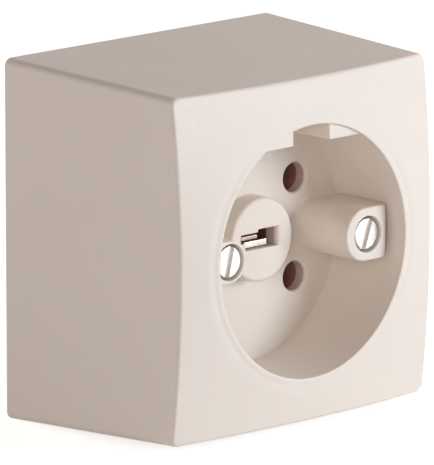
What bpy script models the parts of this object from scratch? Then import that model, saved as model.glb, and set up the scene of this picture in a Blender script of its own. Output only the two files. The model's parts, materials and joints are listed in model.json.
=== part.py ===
"""Surface mounted five-pole socket outlet: a deep cap with a keyed round well.

The origin is the centre of the wall face, +Z is up and the front faces -Y.
A depth is a distance from the wall, so a depth d lies at y = -d.
"""

import math

import bmesh
import bpy
from mathutils import Vector

MM = 0.001

# Clearances between pieces
FIT = 0.3 * MM
SHANK_FIT = 0.3 * MM
CUT_OVERLAP = 4 * MM

# Screws in general, as shares of the head's and the shank's radius
HEAD_CHAMFER_SHARE = 0.12
POINT_SHARE = 0.3

# Back plate
PLATE_THICKNESS = 2.6 * MM
PLATE_UPSTAND_HEIGHT = 6.0 * MM
PLATE_UPSTAND_THICKNESS = 1.6 * MM
PILLAR_DIAMETER = 8.0 * MM
PILLAR_HEIGHT = 5.8 * MM
FIXING_ROW = 19.0 * MM
FIXING_SLOT_WIDTH = 4.6 * MM
FIXING_SLOT_LENGTH = 9.0 * MM
FIXING_SLOT_FLAT = 0.1 * MM
CABLE_ENTRY_DIAMETER = 18.0 * MM
CABLE_ENTRY_MARGIN = 7.34 * MM
GROMMET_WALL = 2.7 * MM
GROMMET_FLANGE = 1.6 * MM
GROMMET_FLANGE_THICKNESS = 1.2 * MM
GROMMET_CHAMFER = 0.8 * MM
GROMMET_CHAMFER_DEPTH = 1.4 * MM

# Pin pattern
PIN_COLUMN = 14.6 * MM
PIN_ROW = 11.0 * MM
PIN_HOLE_DIAMETER = 6.9 * MM

# Contacts
SLEEVE_BORE = 5.0 * MM
SLEEVE_WALL = 0.9 * MM
SLEEVE_SLIT = 1.0 * MM
SLEEVE_ROOM = 0.6 * MM
SLEEVE_GAP = 0.7 * MM
TAIL_WIDTH = 5.0 * MM
TAIL_THICKNESS = 1.0 * MM
LEAF_END_GAP = 0.4 * MM
UPPER_LEAF_SHORT = 0.1 * MM
LOWER_LEAF_LONG = 2.4 * MM
LEAF_THICKNESS = 0.8 * MM
LEAF_TIP_THICKNESS = 1.15 * MM
LEAF_TIP_LENGTH = 1.8 * MM
LEAF_TIP_GAP = 0.35 * MM
LEAF_SINK = 0.6 * MM

# Terminals
TERMINAL_WIDTH = 7.0 * MM
TERMINAL_HEIGHT = 6.4 * MM
TERMINAL_LENGTH = 10.0 * MM
TERMINAL_CORNER = 0.7 * MM
TERMINAL_ROOM = 6.5 * MM
WIRE_HOLE_DIAMETER = 3.2 * MM
WIRE_HOLE_OFFSET = 3.2 * MM
TERMINAL_SHANK_DIAMETER = 3.4 * MM
TERMINAL_HEAD_DIAMETER = 5.4 * MM
TERMINAL_HEAD_HEIGHT = 2.2 * MM
TERMINAL_SLOT_WIDTH = 0.9 * MM
TERMINAL_SLOT_DEPTH = 1.1 * MM
TERMINAL_SLOT_ANGLE = 25.0

# Cover screws
COVER_HEAD_DIAMETER = 6.9 * MM
COVER_HEAD_HEIGHT = 2.6 * MM
COVER_HEAD_SINK = 0.4 * MM
COVER_HEAD_GAP = 0.6 * MM
COVER_SHANK_DIAMETER = 4.0 * MM
COVER_SCREW_POINT_REACH = 0.9 * MM
COVER_SLOT_WIDTH = 1.2 * MM
COVER_SLOT_DEPTH = 1.3 * MM
COVER_SLOT_ANGLES = {"left": -14.0, "right": -20.0}

# Nut inserts
INSERT_WALL = 0.9 * MM
INSERT_LENGTH = 10.0 * MM
INSERT_GROOVE = 0.5 * MM

# Carrier screws
CARRIER_SCREW_BEARING = 29.0
CHAMBER_SCREW_WALL = 1.4 * MM
CARRIER_SCREW_WALL = 0.95 * MM
CARRIER_HEAD_DIAMETER = 6.0 * MM
CARRIER_HEAD_HEIGHT = 2.2 * MM
CARRIER_SHANK_DIAMETER = 3.4 * MM
CARRIER_SEAT_THICKNESS = 5.0 * MM
CARRIER_SCREW_REACH = 3.6 * MM
CARRIER_SLOT_ANGLE = 60.0

# Contact carrier
INSERT_LUG_WALL = 2.3 * MM
POCKET_WALL = 3.0 * MM
CARRIER_END_WALL = 2.0 * MM
CARRIER_CORNER = 4.0 * MM
GUIDE_LENGTH = 4.0 * MM
EARTH_ROOM = 0.3 * MM
TOWER_SINK = 2.0 * MM
BACK_THICKNESS = 1.4 * MM

# Cover: cap
COVER_SIZE = 80.0 * MM
COVER_DRAFT = 2.1 * MM
COVER_CORNER_RADIUS = 1.8 * MM
COVER_WALL = 2.4 * MM
INNER_CORNER_RADIUS = 0.6 * MM
FRONT_WALL = 2.8 * MM
FRONT_CROWN = 4.2 * MM
FRONT_ARCH = 2.5 * MM
FRONT_EDGE_RADIUS = 0.9 * MM
LAND_WIDTH = 2.2 * MM
LIP_WIDTH = 0.9 * MM
LIP_HEIGHT = 0.3 * MM

# Cover: well
WELL_RADIUS = 27.8 * MM
WELL_DEPTH = 20.6 * MM
WELL_WALL = 2.2 * MM
WELL_FLOOR_THICKNESS = 3.0 * MM
KEY_CHORD_RISE = 4.2 * MM
KEY_NOTCH_WIDTH = 10.7 * MM
KEY_FACE_DROP = 0.6 * MM
STAY_THICKNESS = 1.8 * MM
STAY_HEIGHT = 13.0 * MM
STAY_SINK = 0.4 * MM

# Cover: earth boss
BOSS_MARGIN = 2.5 * MM
BOSS_HEIGHT = 4.0 * MM
BOSS_FACE_THICKNESS = 3.7 * MM
BOSS_WALL = 1.2 * MM
BOSS_EDGE = 0.3 * MM
SLOT_LEFT = -5.6 * MM
SLOT_RIGHT = 6.6 * MM
SLOT_STEP = -0.4 * MM
SLOT_BOTTOM = -1.95 * MM
SLOT_TOP_WIDE = 2.35 * MM
SLOT_TOP_NARROW = 1.7 * MM

# Cover: screw posts
POST_SINK = 4.1 * MM
POST_WALLS = {"left": 0.65 * MM, "right": 1.85 * MM}
POST_ROUND_OFFSETS = {"left": 0.0, "right": 0.6 * MM}
POST_FLAT_WALL = 0.85 * MM
POST_WELL_GAP = 2.2 * MM
POST_CORNER = 0.8 * MM

# Cable break-out in the cap's lower wall, and the gap behind it in the plate's upstand
BREAKOUT_WIDTH = 16.0 * MM
BREAKOUT_DEPTH = 14.0 * MM
BREAKOUT_WEB = 0.9 * MM
BREAKOUT_MARGIN = 1.0 * MM

# Mesh density
SHARP_ANGLE = math.radians(30)
EDGE_STEPS = 12
CORNER_STEPS = 4
CORNER_FAN = math.radians(2.5)
ROUNDING_STEPS = 3
FRONT_RINGS = 3
WELL_STEPS = 64
POST_STEPS = 14
BOSS_STEPS = 36
HOLE_STEPS = 20
SCREW_STEPS = 16
SMALL_STEPS = 12
TINY_STEPS = 6
ENTRY_STEPS = 32

# Depths, from the wall outward
PILLAR_DEPTH = PLATE_THICKNESS + PILLAR_HEIGHT
PLATE_FRONT_DEPTH = PLATE_THICKNESS + PLATE_UPSTAND_HEIGHT
BACK_BACK_DEPTH = PILLAR_DEPTH + FIT
BACK_FRONT_DEPTH = BACK_BACK_DEPTH + BACK_THICKNESS
CARRIER_BACK_DEPTH = BACK_FRONT_DEPTH + FIT
TAIL_BACK_DEPTH = CARRIER_BACK_DEPTH
TAIL_FRONT_DEPTH = TAIL_BACK_DEPTH + TAIL_THICKNESS
TERMINAL_BACK_DEPTH = TAIL_FRONT_DEPTH + FIT
TERMINAL_FRONT_DEPTH = TERMINAL_BACK_DEPTH + TERMINAL_LENGTH
CARRIER_FRONT_DEPTH = TERMINAL_FRONT_DEPTH + FIT + TERMINAL_HEAD_HEIGHT + TERMINAL_ROOM
GUIDE_BACK_DEPTH = CARRIER_FRONT_DEPTH - GUIDE_LENGTH
SLEEVE_FRONT_DEPTH = GUIDE_BACK_DEPTH - SLEEVE_GAP
INSERT_FRONT_DEPTH = CARRIER_FRONT_DEPTH - FIT
INSERT_BACK_DEPTH = INSERT_FRONT_DEPTH - INSERT_LENGTH
FLOOR_BACK_DEPTH = CARRIER_FRONT_DEPTH + FIT
WELL_FLOOR_DEPTH = FLOOR_BACK_DEPTH + WELL_FLOOR_THICKNESS
BOSS_DEPTH = WELL_FLOOR_DEPTH + BOSS_HEIGHT
BOSS_ROOF_DEPTH = BOSS_DEPTH - BOSS_FACE_THICKNESS
TOWER_DEPTH = BOSS_ROOF_DEPTH - FIT
LAND_DEPTH = WELL_FLOOR_DEPTH + WELL_DEPTH
LIP_DEPTH = LAND_DEPTH + LIP_HEIGHT
COVER_CORNER_DEPTH = LAND_DEPTH - FRONT_CROWN
STAY_FRONT_DEPTH = LAND_DEPTH - FRONT_WALL + STAY_SINK
POST_DEPTH = LAND_DEPTH - POST_SINK
HEAD_FRONT_DEPTH = POST_DEPTH - COVER_HEAD_SINK
HEAD_SEAT_DEPTH = HEAD_FRONT_DEPTH - COVER_HEAD_HEIGHT
COVER_SCREW_END_DEPTH = INSERT_BACK_DEPTH - COVER_SCREW_POINT_REACH

# Widths and places
HALF = COVER_SIZE / 2
LAND_RADIUS = WELL_RADIUS + LIP_WIDTH + LAND_WIDTH
KEY_CHORD_HEIGHT = WELL_RADIUS - KEY_CHORD_RISE
BOSS_RADIUS = math.hypot(SLOT_RIGHT, SLOT_TOP_WIDE) + BOSS_MARGIN
TOWER_RADIUS = BOSS_RADIUS - BOSS_WALL - FIT
HEAD_BORE_RADIUS = COVER_HEAD_DIAMETER / 2 + COVER_HEAD_GAP
POST_FLAT_OFFSET = HEAD_BORE_RADIUS + POST_FLAT_WALL
POST_COLUMN = WELL_RADIUS - POST_WELL_GAP - POST_FLAT_OFFSET
LEAF_LEFT = SLOT_LEFT + LEAF_END_GAP
LEAF_RIGHTS = {"upper": SLOT_STEP - UPPER_LEAF_SHORT, "lower": SLOT_STEP + LOWER_LEAF_LONG}
GUIDE_RADIUS = PIN_HOLE_DIAMETER / 2 + FIT / 2
SLEEVE_RADIUS = SLEEVE_BORE / 2 + SLEEVE_WALL
CHAMBER_RADIUS = SLEEVE_RADIUS + SLEEVE_ROOM
INSERT_RADIUS = COVER_SHANK_DIAMETER / 2 + SHANK_FIT + INSERT_WALL
TERMINAL_ROW = PIN_ROW + CHAMBER_RADIUS + POCKET_WALL + FIT + TERMINAL_HEIGHT / 2
CARRIER_SCREW_SPACING = CHAMBER_RADIUS + CHAMBER_SCREW_WALL + FIT + CARRIER_HEAD_DIAMETER / 2
CARRIER_SCREW_COLUMN = PIN_COLUMN + CARRIER_SCREW_SPACING * math.cos(math.radians(CARRIER_SCREW_BEARING))
CARRIER_SCREW_ROW = PIN_ROW + CARRIER_SCREW_SPACING * math.sin(math.radians(CARRIER_SCREW_BEARING))
INSERT_SIDE = POST_COLUMN + INSERT_RADIUS + INSERT_LUG_WALL
SCREW_SIDE = CARRIER_SCREW_COLUMN + CARRIER_HEAD_DIAMETER / 2 + CARRIER_SCREW_WALL
CARRIER_WIDTH = 2 * (max(INSERT_SIDE, SCREW_SIDE) + FIT)
CARRIER_HEIGHT = 2 * (TERMINAL_ROW + TERMINAL_HEIGHT / 2 + FIT + CARRIER_END_WALL)
PLATE_HALF = HALF - COVER_WALL - FIT - COVER_DRAFT * PLATE_FRONT_DEPTH / COVER_CORNER_DEPTH
TRAY_HALF = PLATE_HALF - PLATE_UPSTAND_THICKNESS
FIXING_COLUMN = (CARRIER_WIDTH / 2 + TRAY_HALF) / 2
CABLE_ENTRY_HEIGHT = CABLE_ENTRY_MARGIN + CABLE_ENTRY_DIAMETER / 2 - TRAY_HALF
GROMMET_RADIUS = CABLE_ENTRY_DIAMETER / 2 - FIT

LINES = {
    "line_1": (-PIN_COLUMN, PIN_ROW),
    "line_2": (PIN_COLUMN, PIN_ROW),
    "line_3": (-PIN_COLUMN, -PIN_ROW),
    "neutral": (PIN_COLUMN, -PIN_ROW),
}
SIDES = {"left": -1, "right": 1}


def clear_scene():
    """Remove every object that the file holds."""
    for existing in list(bpy.data.objects):
        bpy.data.objects.remove(existing, do_unlink=True)


def make_material(name, color, roughness, metallic=0.0):
    """A Principled material."""
    material = bpy.data.materials.new(name)
    material.use_nodes = True
    shader = material.node_tree.nodes["Principled BSDF"]
    shader.inputs["Base Color"].default_value = (*color, 1.0)
    shader.inputs["Roughness"].default_value = roughness
    shader.inputs["Metallic"].default_value = metallic
    material.diffuse_color = (*color, 1.0)
    return material


def make_materials():
    """The colours, as linear values."""
    return {
        "cream": make_material("cream_plastic", (0.78, 0.70, 0.63), 0.35),
        "brown": make_material("brown_moulding", (0.12, 0.035, 0.03), 0.5),
        "plate": make_material("plate_plastic", (0.62, 0.58, 0.53), 0.5),
        "fibre": make_material("fibre_sheet", (0.20, 0.11, 0.06), 0.7),
        "brass": make_material("brass", (0.72, 0.52, 0.22), 0.3, 1.0),
        "spring": make_material("plated_spring", (0.80, 0.76, 0.68), 0.25, 1.0),
        "steel": make_material("plated_steel", (0.72, 0.72, 0.71), 0.25, 1.0),
        "rubber": make_material("grommet_rubber", (0.05, 0.05, 0.05), 0.8),
    }


def place(outline, depth):
    """The (x, z) outline at one depth."""
    return [Vector((x, -depth, z)) for x, z in outline]


def finish_object(name, mesh, material):
    """Link a new object, smooth where its faces meet at a small angle."""
    if material is not None:
        mesh.materials.append(material)
    mesh.shade_smooth()
    mesh.set_sharp_from_angle(angle=SHARP_ANGLE)
    new_object = bpy.data.objects.new(name, mesh)
    bpy.context.scene.collection.objects.link(new_object)
    return new_object


def skin(name, rings, material=None, wrap=False):
    """A closed body through rings of as many points each, capped or wrapped around."""
    bm = bmesh.new()
    loops = [[bm.verts.new(point) for point in ring] for ring in rings]
    count = len(loops[0])
    pairs = list(zip(loops, loops[1:]))
    if wrap:
        pairs.append((loops[-1], loops[0]))
    for first, second in pairs:
        for i in range(count):
            j = (i + 1) % count
            bm.faces.new((first[i], first[j], second[j], second[i]))
    if not wrap:
        bm.faces.new(loops[0])
        bm.faces.new(loops[-1])
    bmesh.ops.recalc_face_normals(bm, faces=bm.faces)
    mesh = bpy.data.meshes.new(name)
    bm.to_mesh(mesh)
    bm.free()
    return finish_object(name, mesh, material)


def prism(name, outline, back, front, material=None):
    """An outline in x and z, from one depth to another."""
    return skin(name, [place(outline, back), place(outline, front)], material)


def circle(centre, radius, steps):
    """Points around a centre, starting at +X."""
    turns = [math.tau * i / steps for i in range(steps)]
    return [(centre[0] + radius * math.cos(a), centre[1] + radius * math.sin(a)) for a in turns]


def turned(name, centre, profile, steps, material=None, wrap=False):
    """A body turned about a line along Y; the profile is (radius, depth) pairs."""
    rings = [place(circle(centre, radius, steps), depth) for radius, depth in profile]
    return skin(name, rings, material, wrap)


def rectangle(left, right, bottom, top):
    """Corners, anticlockwise as seen from the front."""
    return [(left, bottom), (right, bottom), (right, top), (left, top)]


def arc(centre, radius, start, end, steps):
    """Points of an arc, both ends included; angles in degrees."""
    angles = [math.radians(start + (end - start) * i / steps) for i in range(steps + 1)]
    return [(centre[0] + radius * math.cos(a), centre[1] + radius * math.sin(a)) for a in angles]


def rounded_rectangle(width, height, radius, steps=CORNER_STEPS, centre=(0, 0)):
    """A rectangle with rounded corners."""
    points = []
    for quarter, (sx, sz) in enumerate([(1, 1), (-1, 1), (-1, -1), (1, -1)]):
        middle = (centre[0] + sx * (width / 2 - radius), centre[1] + sz * (height / 2 - radius))
        points += arc(middle, radius, 90 * quarter, 90 * quarter + 90, steps)
    return points


def apply_tool(target, tool, operation):
    """Add an exact Boolean; the tool stays in the file as a hidden guide."""
    tool.hide_render = True
    tool.display_type = "WIRE"
    modifier = target.modifiers.new(tool.name, "BOOLEAN")
    modifier.operation = operation
    modifier.solver = "EXACT"
    modifier.object = tool


def cut(target, *tools):
    for tool in tools:
        apply_tool(target, tool, "DIFFERENCE")


def join(target, *tools):
    for tool in tools:
        apply_tool(target, tool, "UNION")


def settle(target):
    """Make the cuts and unions final, remove their tools and mark the edges that they made sharp."""
    tools = [modifier.object for modifier in target.modifiers]
    depsgraph = bpy.context.evaluated_depsgraph_get()
    mesh = bpy.data.meshes.new_from_object(target.evaluated_get(depsgraph))
    target.modifiers.clear()
    mesh.name = target.name
    target.data = mesh
    mesh.shade_smooth()
    mesh.set_sharp_from_angle(angle=SHARP_ANGLE)
    for tool in tools:
        bpy.data.objects.remove(tool, do_unlink=True)
    return target


def square_outline(half, radius):
    """A rounded square with matched points: (x, z, angle of the rim point that it leads to)."""
    flat = half - radius
    points = []
    for side in range(4):
        turn = side * math.pi / 2
        local = []
        for i in range(EDGE_STEPS + 1):
            along = -1 + 2 * i / EDGE_STEPS
            local.append((half, along * flat, along * (math.pi / 4 - CORNER_FAN)))
        for i in range(1, CORNER_STEPS):
            share = i / CORNER_STEPS
            bend = share * math.pi / 2
            fan = math.pi / 4 - CORNER_FAN + 2 * CORNER_FAN * share
            local.append((flat + radius * math.cos(bend), flat + radius * math.sin(bend), fan))
        for x, z, fan in local:
            turned_x = x * math.cos(turn) - z * math.sin(turn)
            turned_z = x * math.sin(turn) + z * math.cos(turn)
            points.append((turned_x, turned_z, fan + turn))
    return points


def cap_rings(wall, back_depth, front_wall, edge_radius, front_rings):
    """Rings of the cap's loft: up the flat drafted sides, over the arched edge, to the round land."""
    radius = INNER_CORNER_RADIUS if wall else COVER_CORNER_RADIUS
    front_half = HALF - COVER_DRAFT - wall
    wall_face = square_outline(HALF - wall, radius)
    corner_level = square_outline(front_half, radius)
    land_depth = LAND_DEPTH - front_wall
    backs = []
    edges = []
    lands = []
    for (foot_x, foot_z, fan), (x, z, fan) in zip(wall_face, corner_level):
        foot = Vector((foot_x, 0, foot_z))
        slope = (Vector((x, -COVER_CORNER_DEPTH, z)) - foot) / COVER_CORNER_DEPTH
        inner = min(abs(x), abs(z)) / front_half
        depth = COVER_CORNER_DEPTH + FRONT_ARCH * (1 - inner * inner) - front_wall
        backs.append(foot + slope * back_depth)
        edges.append(foot + slope * depth)
        lands.append(Vector((LAND_RADIUS * math.cos(fan), -land_depth, LAND_RADIUS * math.sin(fan))))
    rings = [backs]
    before = [e + (b - e).normalized() * edge_radius for e, b in zip(edges, backs)]
    after = [e + (l - e).normalized() * edge_radius for e, l in zip(edges, lands)]
    if edge_radius:
        for step in range(ROUNDING_STEPS + 1):
            share = step / ROUNDING_STEPS
            weights = ((1 - share) ** 2, 2 * share * (1 - share), share**2)
            blends = zip(before, edges, after)
            rings.append([weights[0] * b + weights[1] * e + weights[2] * a for b, e, a in blends])
    else:
        rings.append(edges)
    for step in range(1, front_rings + 1):
        share = step / front_rings
        rings.append([a.lerp(l, share) for a, l in zip(after, lands)])
    return rings


def key_outline(direction):
    """One of the two tabs beside the notch: a flat chord below, sunk in the well's wall outside."""
    sunk = WELL_RADIUS + WELL_WALL / 2
    half_notch = KEY_NOTCH_WIDTH / 2
    chord_angle = math.degrees(math.asin(KEY_CHORD_HEIGHT / sunk))
    notch_angle = math.degrees(math.acos(half_notch / sunk))
    points = [(half_notch, KEY_CHORD_HEIGHT)] + arc((0, 0), sunk, chord_angle, notch_angle, TINY_STEPS)
    return [(direction * x, z) for x, z in points]


def post_outline(side):
    """A post's end: half round towards the middle, flat with rounded corners towards the wall."""
    radius = HEAD_BORE_RADIUS + POST_WALLS[side]
    corner = POST_COLUMN + POST_FLAT_OFFSET - POST_CORNER
    points = arc((POST_COLUMN - POST_ROUND_OFFSETS[side], 0), radius, 90, 270, POST_STEPS)
    points += arc((corner, POST_CORNER - radius), POST_CORNER, 270, 360, CORNER_STEPS)
    points += arc((corner, radius - POST_CORNER), POST_CORNER, 0, 90, CORNER_STEPS)
    return [(SIDES[side] * x, z) for x, z in points]


def slot_outline():
    """The boss's slot, one step taller in its right part."""
    return [
        (SLOT_LEFT, SLOT_BOTTOM),
        (SLOT_RIGHT, SLOT_BOTTOM),
        (SLOT_RIGHT, SLOT_TOP_WIDE),
        (SLOT_STEP, SLOT_TOP_WIDE),
        (SLOT_STEP, SLOT_TOP_NARROW),
        (SLOT_LEFT, SLOT_TOP_NARROW),
    ]


def breakout_outline():
    """A U shape in x and depth, open at the wall face."""
    radius = BREAKOUT_WIDTH / 2
    points = [(-radius, -CUT_OVERLAP), (radius, -CUT_OVERLAP)]
    points += arc((0, BREAKOUT_DEPTH - radius), radius, 0, 180, HOLE_STEPS)
    return points


def build_cover(materials):
    """The deep cap with its well, key, posts and boss in one moulding."""
    cover = skin("front_cover", cap_rings(0, 0, 0, FRONT_EDGE_RADIUS, FRONT_RINGS), materials["cream"])
    cut(cover, skin("hollow_cutter", cap_rings(COVER_WALL, -CUT_OVERLAP, FRONT_WALL, 0, 1)))

    housing_radius = WELL_RADIUS + WELL_WALL
    lip_radius = WELL_RADIUS + LIP_WIDTH
    housing_profile = [
        (housing_radius, FLOOR_BACK_DEPTH),
        (housing_radius, LAND_DEPTH - FRONT_WALL / 2),
        (lip_radius, LAND_DEPTH - FRONT_WALL / 2),
        (lip_radius, LIP_DEPTH - LIP_HEIGHT / 2),
        (lip_radius - LIP_HEIGHT, LIP_DEPTH),
    ]
    join(cover, turned("well_housing", (0, 0), housing_profile, WELL_STEPS))
    reach = HALF - COVER_DRAFT - COVER_WALL / 2
    thin = STAY_THICKNESS / 2
    stays = {
        "stay_across": rectangle(-reach, reach, -thin, thin),
        "stay_upright": rectangle(-thin, thin, -reach, reach),
    }
    for name, outline in stays.items():
        join(cover, prism(name, outline, STAY_FRONT_DEPTH - STAY_HEIGHT, STAY_FRONT_DEPTH))
    well = circle((0, 0), WELL_RADIUS, WELL_STEPS)
    cut(cover, prism("well_cutter", well, WELL_FLOOR_DEPTH, LIP_DEPTH + CUT_OVERLAP))
    inside = WELL_FLOOR_DEPTH - WELL_FLOOR_THICKNESS / 2
    for side, direction in SIDES.items():
        join(cover, prism("key_tab_" + side, key_outline(direction), inside, LAND_DEPTH - KEY_FACE_DROP))

    for side, direction in SIDES.items():
        centre = (direction * POST_COLUMN, 0)
        join(cover, prism("post_" + side, post_outline(side), inside, POST_DEPTH))
        shank_radius = COVER_SHANK_DIAMETER / 2 + SHANK_FIT
        profile = [
            (shank_radius, FLOOR_BACK_DEPTH - CUT_OVERLAP),
            (shank_radius, HEAD_SEAT_DEPTH - FIT),
            (HEAD_BORE_RADIUS, HEAD_SEAT_DEPTH - FIT),
            (HEAD_BORE_RADIUS, POST_DEPTH + CUT_OVERLAP),
        ]
        cut(cover, turned("post_bore_" + side, centre, profile, HOLE_STEPS))

    boss_profile = [
        (BOSS_RADIUS, inside),
        (BOSS_RADIUS, BOSS_DEPTH - BOSS_EDGE),
        (BOSS_RADIUS - BOSS_EDGE, BOSS_DEPTH),
    ]
    join(cover, turned("boss", (0, 0), boss_profile, BOSS_STEPS))
    cavity = circle((0, 0), BOSS_RADIUS - BOSS_WALL, BOSS_STEPS)
    cut(cover, prism("boss_cavity", cavity, FLOOR_BACK_DEPTH - CUT_OVERLAP, BOSS_ROOF_DEPTH))
    slot_back = BOSS_ROOF_DEPTH - CUT_OVERLAP
    cut(cover, prism("slot_cutter", slot_outline(), slot_back, BOSS_DEPTH + CUT_OVERLAP))
    hole_back = FLOOR_BACK_DEPTH - CUT_OVERLAP
    for name, centre in LINES.items():
        hole = circle(centre, PIN_HOLE_DIAMETER / 2, HOLE_STEPS)
        cut(cover, prism(name + "_hole", hole, hole_back, WELL_FLOOR_DEPTH + CUT_OVERLAP))

    web_height = -(HALF - COVER_DRAFT * BREAKOUT_DEPTH / COVER_CORNER_DEPTH) + BREAKOUT_WEB
    recess = [
        [Vector((x, -depth, level)) for x, depth in breakout_outline()]
        for level in (web_height, -HALF + COVER_WALL + CUT_OVERLAP)
    ]
    cut(cover, skin("breakout_cutter", recess))
    return settle(cover)


def build_screw(name, centre, head, shank, slot, angle, material):
    """A slotted screw: head (radius, back, front), shank (radius, back), slot (width, depth)."""
    head_radius, head_back, head_front = head
    shank_radius, shank_back = shank
    slot_width, slot_depth = slot
    chamfer = head_radius * HEAD_CHAMFER_SHARE
    point = shank_radius * POINT_SHARE
    profile = [
        (shank_radius - point, shank_back),
        (shank_radius, shank_back + point),
        (shank_radius, head_back),
        (head_radius, head_back),
        (head_radius, head_front - chamfer),
        (head_radius - chamfer, head_front),
    ]
    screw = turned(name, centre, profile, SCREW_STEPS, material)
    reach = 2 * head_radius
    cosine = math.cos(math.radians(angle))
    sine = math.sin(math.radians(angle))
    bar = rectangle(-slot_width / 2, slot_width / 2, -reach, reach)
    bar = [(centre[0] + x * cosine - z * sine, centre[1] + x * sine + z * cosine) for x, z in bar]
    cut(screw, prism(name + "_slot", bar, head_front - slot_depth, head_front + CUT_OVERLAP))
    return settle(screw)


def build_cover_screws(materials):
    """The two long screws that hold the cover to the carrier."""
    for side, direction in SIDES.items():
        build_screw(
            "cover_screw_" + side,
            (direction * POST_COLUMN, 0),
            (COVER_HEAD_DIAMETER / 2, HEAD_SEAT_DEPTH, HEAD_FRONT_DEPTH),
            (COVER_SHANK_DIAMETER / 2, COVER_SCREW_END_DEPTH),
            (COVER_SLOT_WIDTH, COVER_SLOT_DEPTH),
            COVER_SLOT_ANGLES[side],
            materials["steel"],
        )


def carrier_screw_places():
    """The carrier's screws sit on one diagonal."""
    return {
        "left": (-CARRIER_SCREW_COLUMN, CARRIER_SCREW_ROW),
        "right": (CARRIER_SCREW_COLUMN, -CARRIER_SCREW_ROW),
    }


def terminal_places():
    """Each terminal's (x, z) centre, keyed by its circuit."""
    places = {}
    for name, (x, z) in LINES.items():
        places[name] = (x, math.copysign(TERMINAL_ROW, z))
    places["earth"] = (0, TERMINAL_ROW)
    return places


def carrier_outline(inset=0):
    return rounded_rectangle(CARRIER_WIDTH - 2 * inset, CARRIER_HEIGHT - 2 * inset, CARRIER_CORNER)


def build_carrier(materials):
    """The brown block: chambers, terminal pockets, earth tower, insert and screw holes."""
    carrier = prism(
        "contact_carrier", carrier_outline(), CARRIER_BACK_DEPTH, CARRIER_FRONT_DEPTH, materials["brown"]
    )
    tower = circle((0, 0), TOWER_RADIUS, BOSS_STEPS)
    join(carrier, prism("tower", tower, CARRIER_FRONT_DEPTH - TOWER_SINK, TOWER_DEPTH))

    back = CARRIER_BACK_DEPTH - CUT_OVERLAP
    front = CARRIER_FRONT_DEPTH + CUT_OVERLAP
    for name, centre in LINES.items():
        profile = [
            (CHAMBER_RADIUS, back),
            (CHAMBER_RADIUS, GUIDE_BACK_DEPTH),
            (GUIDE_RADIUS, GUIDE_BACK_DEPTH),
            (GUIDE_RADIUS, front),
        ]
        cut(carrier, turned(name + "_chamber", centre, profile, HOLE_STEPS))

    earth_room = rectangle(
        SLOT_LEFT - EARTH_ROOM,
        SLOT_RIGHT + EARTH_ROOM,
        SLOT_BOTTOM - EARTH_ROOM,
        SLOT_TOP_WIDE + EARTH_ROOM,
    )
    cut(carrier, prism("earth_chamber", earth_room, back, TOWER_DEPTH + CUT_OVERLAP))

    pocket_width = TERMINAL_WIDTH + 2 * FIT
    pocket_height = TERMINAL_HEIGHT + 2 * FIT
    for name, (x, z) in terminal_places().items():
        pocket = rectangle(
            x - pocket_width / 2, x + pocket_width / 2, z - pocket_height / 2, z + pocket_height / 2
        )
        cut(carrier, prism(name + "_pocket", pocket, back, front))
        start = LINES[name][1] if name in LINES else 0
        end = z + math.copysign(TERMINAL_HEIGHT / 2 + FIT, z)
        channel_half = TAIL_WIDTH / 2 + FIT
        channel = rectangle(x - channel_half, x + channel_half, min(start, end), max(start, end))
        channel_front = TAIL_FRONT_DEPTH + FIT
        cut(carrier, prism(name + "_channel", channel, back, channel_front))
        wire_depth = TERMINAL_BACK_DEPTH + WIRE_HOLE_OFFSET
        inner = abs(z) + TERMINAL_HEIGHT / 4
        outer = CARRIER_HEIGHT / 2 + CUT_OVERLAP
        wire_circle = circle((x, wire_depth), WIRE_HOLE_DIAMETER / 2 + FIT, SMALL_STEPS)
        rings = [
            [Vector((px, -depth, math.copysign(level, z))) for px, depth in wire_circle]
            for level in (inner, outer)
        ]
        cut(carrier, skin(name + "_wire_way", rings))

    shank_radius = COVER_SHANK_DIAMETER / 2 + SHANK_FIT
    for side, direction in SIDES.items():
        profile = [
            (shank_radius, back),
            (shank_radius, INSERT_BACK_DEPTH - FIT),
            (INSERT_RADIUS + FIT, INSERT_BACK_DEPTH - FIT),
            (INSERT_RADIUS + FIT, front),
        ]
        cut(carrier, turned("insert_bore_" + side, (direction * POST_COLUMN, 0), profile, HOLE_STEPS))

    for side, centre in carrier_screw_places().items():
        seat = CARRIER_BACK_DEPTH + CARRIER_SEAT_THICKNESS
        profile = [
            (CARRIER_SHANK_DIAMETER / 2 + SHANK_FIT, back),
            (CARRIER_SHANK_DIAMETER / 2 + SHANK_FIT, seat),
            (CARRIER_HEAD_DIAMETER / 2 + FIT, seat),
            (CARRIER_HEAD_DIAMETER / 2 + FIT, front),
        ]
        cut(carrier, turned("carrier_bore_" + side, centre, profile, SMALL_STEPS))
    return settle(carrier)


def build_carrier_back(materials):
    """The insulating plate behind the carrier."""
    back = prism(
        "carrier_back", carrier_outline(FIT), BACK_BACK_DEPTH, BACK_FRONT_DEPTH, materials["fibre"]
    )
    holes = {"screw_" + side: centre for side, centre in carrier_screw_places().items()}
    for side, direction in SIDES.items():
        holes["cover_" + side] = (direction * POST_COLUMN, 0)
    for name, centre in holes.items():
        hole = circle(centre, COVER_SHANK_DIAMETER / 2 + SHANK_FIT, SMALL_STEPS)
        behind = BACK_BACK_DEPTH - CUT_OVERLAP
        cut(back, prism("back_hole_" + name, hole, behind, BACK_FRONT_DEPTH + CUT_OVERLAP))
    return settle(back)


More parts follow.
